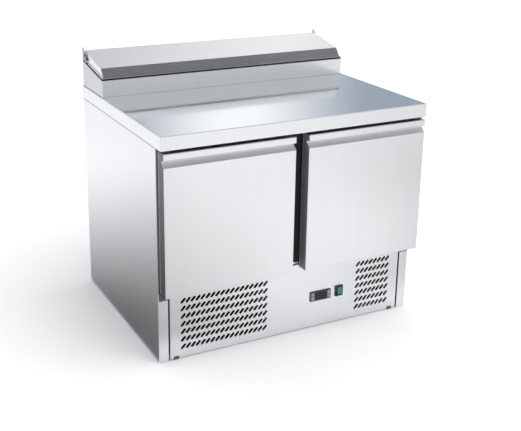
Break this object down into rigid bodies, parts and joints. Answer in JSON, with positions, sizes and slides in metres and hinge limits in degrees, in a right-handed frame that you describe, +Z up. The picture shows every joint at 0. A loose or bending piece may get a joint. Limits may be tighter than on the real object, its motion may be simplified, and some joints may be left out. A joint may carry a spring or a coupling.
{
  "type": "refrigerated sandwich prep table",
  "caption": "Two-door refrigerated prep table with steel worktop, raised pan housing under a hinged lid, louvred machine panel, controller and rocker switch.",
  "frame": {"origin": "centre of the footprint at floor level", "axes": "+X to the right seen from the front, +Y from the doors to the back, +Z up"},
  "size_m": [0.903, 0.7, 0.8516],
  "materials": {
    "cabinet_steel": "fine-brushed satin stainless steel",
    "worktop_steel": "polished stainless steel with a soft mirror",
    "lid_steel": "brushed stainless steel",
    "liner_steel": "satin stainless steel",
    "galvanised": "dull galvanised sheet",
    "foam": "rigid insulation foam",
    "seal_rubber": "matt black seal",
    "black_plastic": "satin black moulding",
    "grey_plastic": "satin grey keys",
    "display": "smoked gloss window",
    "green_plastic": "translucent green rocker",
    "wire_coat": "plastic-coated wire",
    "black_paint": "semi-gloss black paint",
    "aluminium": "bare aluminium",
    "copper": "bright copper tube"
  },
  "bodies": {
    "cabinet": {"side_panel_left": "cabinet_steel", "side_panel_right": "cabinet_steel", "louvred_panel": "cabinet_steel", "door_frame": "cabinet_steel", "pan_housing": "cabinet_steel", "worktop_skin": "worktop_steel", "lid_bracket_left": "lid_steel", "lid_bracket_right": "lid_steel", "liner_side_left": "liner_steel", "liner_side_right": "liner_steel", "liner_back": "liner_steel", "liner_floor": "liner_steel", "centre_mullion": "liner_steel", "pan_rail": "liner_steel", "evaporator_cover": "liner_steel", "food_pan_1": "liner_steel", "food_pan_2": "liner_steel", "food_pan_3": "liner_steel", "food_pan_4": "liner_steel", "food_pan_5": "liner_steel", "back_panel": "galvanised", "base_pan": "galvanised", "left_lower_hinge": "galvanised", "left_upper_hinge": "galvanised", "right_lower_hinge": "galvanised", "right_upper_hinge": "galvanised", "body_insulation": "foam", "worktop_core": "foam", "lid_gasket": "seal_rubber", "controller_bezel": "black_plastic", "rocker_bezel": "black_plastic", "drain_tray": "black_plastic", "display_window": "display", "shelf_left": "wire_coat", "shelf_right": "wire_coat", "compressor": "black_paint", "fan_shroud": "black_paint", "fan_motor": "black_paint", "condenser": "aluminium", "evaporator_coil": "aluminium", "discharge_pipe": "copper"},
    "left_door": {"left_door_skin": "cabinet_steel", "left_door_insulation": "foam", "left_door_liner": "liner_steel", "left_door_gasket": "seal_rubber"},
    "right_door": {"right_door_skin": "cabinet_steel", "right_door_insulation": "foam", "right_door_liner": "liner_steel", "right_door_gasket": "seal_rubber"},
    "lid": {"lid_skin": "lid_steel", "lid_insulation": "foam", "lid_liner": "liner_steel"},
    "power_rocker": {"power_rocker": "green_plastic"},
    "condenser_fan": {"condenser_fan": "aluminium"},
    "evaporator_fan": {"evaporator_fan": "black_plastic"},
    "controller_button_1": {"controller_button_1": "grey_plastic"},
    "controller_button_2": {"controller_button_2": "grey_plastic"},
    "controller_button_3": {"controller_button_3": "grey_plastic"},
    "controller_button_4": {"controller_button_4": "grey_plastic"}
  },
  "joints": [
    {"name": "left_door_hinge", "type": "hinge", "parent": "cabinet", "child": "left_door", "pos_m": [-0.43, -0.328, 0.449], "axis": [0, 0, -1], "range_deg": [0, 100]},
    {"name": "right_door_hinge", "type": "hinge", "parent": "cabinet", "child": "right_door", "pos_m": [0.43, -0.328, 0.449], "axis": [0, 0, 1], "range_deg": [0, 100]},
    {"name": "lid_hinge", "type": "hinge", "parent": "cabinet", "child": "lid", "pos_m": [0, 0.325, 0.82565], "axis": [-1, 0, 0], "range_deg": [0, 90]},
    {"name": "power_rocker_tilt", "type": "hinge", "parent": "cabinet", "child": "power_rocker", "pos_m": [0.182, -0.3023, 0.112], "axis": [1, 0, 0], "range_deg": [0, 16]},
    {"name": "condenser_fan_spin", "type": "hinge", "parent": "cabinet", "child": "condenser_fan", "pos_m": [-0.235, -0.2137, 0.0903], "axis": [0, 1, 0], "continuous": true},
    {"name": "evaporator_fan_spin", "type": "hinge", "parent": "cabinet", "child": "evaporator_fan", "pos_m": [0, 0.2454, 0.4753], "axis": [0, 1, 0], "continuous": true},
    {"name": "controller_button_1_press", "type": "slide", "parent": "cabinet", "child": "controller_button_1", "axis": [0, 1, 0], "range_m": [0, 0.001], "stiffness_N_per_m": 300},
    {"name": "controller_button_2_press", "type": "slide", "parent": "cabinet", "child": "controller_button_2", "axis": [0, 1, 0], "range_m": [0, 0.001], "stiffness_N_per_m": 300},
    {"name": "controller_button_3_press", "type": "slide", "parent": "cabinet", "child": "controller_button_3", "axis": [0, 1, 0], "range_m": [0, 0.001], "stiffness_N_per_m": 300},
    {"name": "controller_button_4_press", "type": "slide", "parent": "cabinet", "child": "controller_button_4", "axis": [0, 1, 0], "range_m": [0, 0.001], "stiffness_N_per_m": 300}
  ]
}
